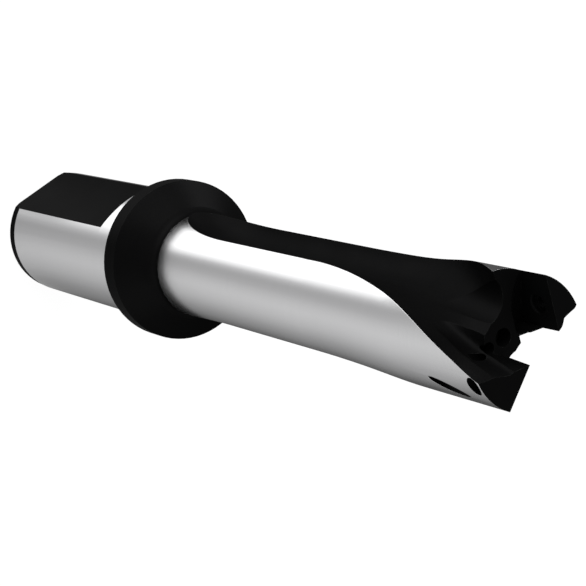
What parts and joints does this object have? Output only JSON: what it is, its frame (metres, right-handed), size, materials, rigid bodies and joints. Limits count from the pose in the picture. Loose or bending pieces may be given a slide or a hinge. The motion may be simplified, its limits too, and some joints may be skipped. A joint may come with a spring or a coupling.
{
  "type": "indexable insert drill body",
  "caption": "Drill body with a flatted cylindrical shank, a stop flange, turning chip flutes and open insert pockets at the tip.",
  "frame": {"origin": "centre of the shank's rear face", "axes": "+Z along the tool axis from the shank to the cutting end, +Y out of the clamping flat of the shank"},
  "size_m": [0.03, 0.03, 0.1551],
  "materials": {
    "drill_body": "satin"
  },
  "bodies": {
    "root": {"drill_body": "drill_body"}
  },
  "joints": []
}
